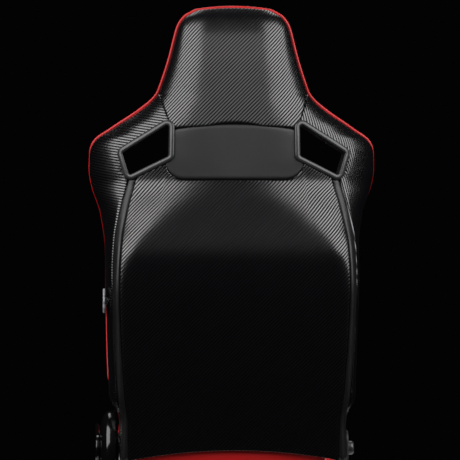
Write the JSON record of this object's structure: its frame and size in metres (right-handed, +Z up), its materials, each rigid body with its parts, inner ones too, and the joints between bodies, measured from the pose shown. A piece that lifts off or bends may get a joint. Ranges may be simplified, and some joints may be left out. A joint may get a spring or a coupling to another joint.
{
  "type": "racing seat",
  "caption": "Reclining sport seat with a bucket back, winged shoulders, harness slots, fixed headrest, lumbar knob, recline lever and floor sliders.",
  "frame": {"origin": "on the floor, under the middle of the seat's width and depth", "axes": "+Z up, +Y the way the sitter faces, +X towards the sitter's right"},
  "size_m": [0.56, 0.6699, 1.015],
  "materials": {
    "twill_vinyl": "carbon-look twill vinyl",
    "smooth_vinyl": "smooth vinyl",
    "red_vinyl": "satin vinyl",
    "satin_plastic": "satin",
    "gloss_plastic": "gloss",
    "knob_plastic": "satin",
    "frame_paint": "powder coat",
    "zinc_plate": "zinc plated",
    "nylon": "matt"
  },
  "bodies": {
    "floor_rails": {"lower_rail_left": "zinc_plate", "lower_rail_right": "zinc_plate"},
    "seat_base": {"upper_rail_left": "zinc_plate", "upper_rail_right": "zinc_plate", "rail_glide_rear_left": "nylon", "rail_glide_rear_right": "nylon", "rail_glide_front_left": "nylon", "rail_glide_front_right": "nylon", "pan_side_left": "frame_paint", "pan_side_right": "frame_paint", "pan_front_tube": "frame_paint", "pan_rear_tube": "frame_paint", "pan_wire_1": "zinc_plate", "pan_wire_2": "zinc_plate", "pan_wire_3": "zinc_plate", "recliner_bracket_left": "frame_paint", "recliner_bracket_right": "frame_paint", "recliner_disc": "zinc_plate", "pivot_pin": "zinc_plate", "pivot_cap": "satin_plastic", "recliner_cover": "gloss_plastic", "seat_insert": "red_vinyl", "seat_bolster_left": "red_vinyl", "seat_bolster_right": "red_vinyl", "seat_rear_skirt": "red_vinyl", "bar_bush_left": "nylon", "bar_bush_right": "nylon"},
    "slide_bar": {"slide_release_bar": "frame_paint"},
    "recline_handle": {"recline_lever": "satin_plastic", "lever_shaft": "zinc_plate"},
    "lumbar_handle": {"lumbar_knob": "knob_plastic", "lumbar_cam_shaft": "zinc_plate"},
    "lumbar_support": {"lumbar_plate": "frame_paint"},
    "backrest": {"back_bolster_left": "red_vinyl", "back_bolster_right": "red_vinyl", "back_insert": "red_vinyl", "back_upright_left": "frame_paint", "back_upright_right": "frame_paint", "back_wire_1": "zinc_plate", "back_wire_2": "zinc_plate", "edge_piping": "red_vinyl", "harness_bezel_front_left": "satin_plastic", "harness_bezel_front_right": "satin_plastic", "harness_bezel_left": "satin_plastic", "harness_bezel_right": "satin_plastic", "headrest_hoop": "frame_paint", "headrest_pad": "red_vinyl", "headrest_rear_panel": "twill_vinyl", "lower_crossbar": "frame_paint", "lower_rear_panel": "twill_vinyl", "recliner_arm_left": "frame_paint", "recliner_arm_right": "frame_paint", "seam_strip_left": "smooth_vinyl", "seam_strip_right": "smooth_vinyl", "shoulder_pad_left": "red_vinyl", "shoulder_pad_right": "red_vinyl", "side_panel_left": "twill_vinyl", "side_panel_right": "twill_vinyl", "upper_crossbar": "frame_paint", "yoke_panel": "smooth_vinyl"}
  },
  "joints": [
    {"name": "seat_slide", "type": "slide", "parent": "floor_rails", "child": "seat_base", "axis": [0, 1, 0], "range_m": [-0.1, 0.1]},
    {"name": "recline", "type": "hinge", "parent": "seat_base", "child": "backrest", "pos_m": [0, -0.165, 0.148], "axis": [1, 0, 0], "range_deg": [-15, 50]},
    {"name": "recline_lever_pull", "type": "hinge", "parent": "seat_base", "child": "recline_handle", "pos_m": [-0.2625, -0.165, 0.148], "axis": [1, 0, 0], "range_deg": [0, 25], "stiffness_Nm_per_rad": 1, "springref_deg": -11.46},
    {"name": "release_bar_lift", "type": "hinge", "parent": "seat_base", "child": "slide_bar", "pos_m": [0, 0.085, 0.033], "axis": [1, 0, 0], "range_deg": [0, 7], "stiffness_Nm_per_rad": 3, "springref_deg": -17.19},
    {"name": "lumbar_turn", "type": "hinge", "parent": "backrest", "child": "lumbar_handle", "pos_m": [-0.245, -0.25, 0.438], "axis": [1, 0, 0], "range_deg": [0, 90]},
    {"name": "lumbar_push", "type": "slide", "parent": "backrest", "child": "lumbar_support", "axis": [0, 1, 0], "range_m": [0, 0.014]}
  ],
  "couplings": [
    {"joint": "lumbar_turn", "follows": "lumbar_push", "rad_per_m": 112.19}
  ]
}
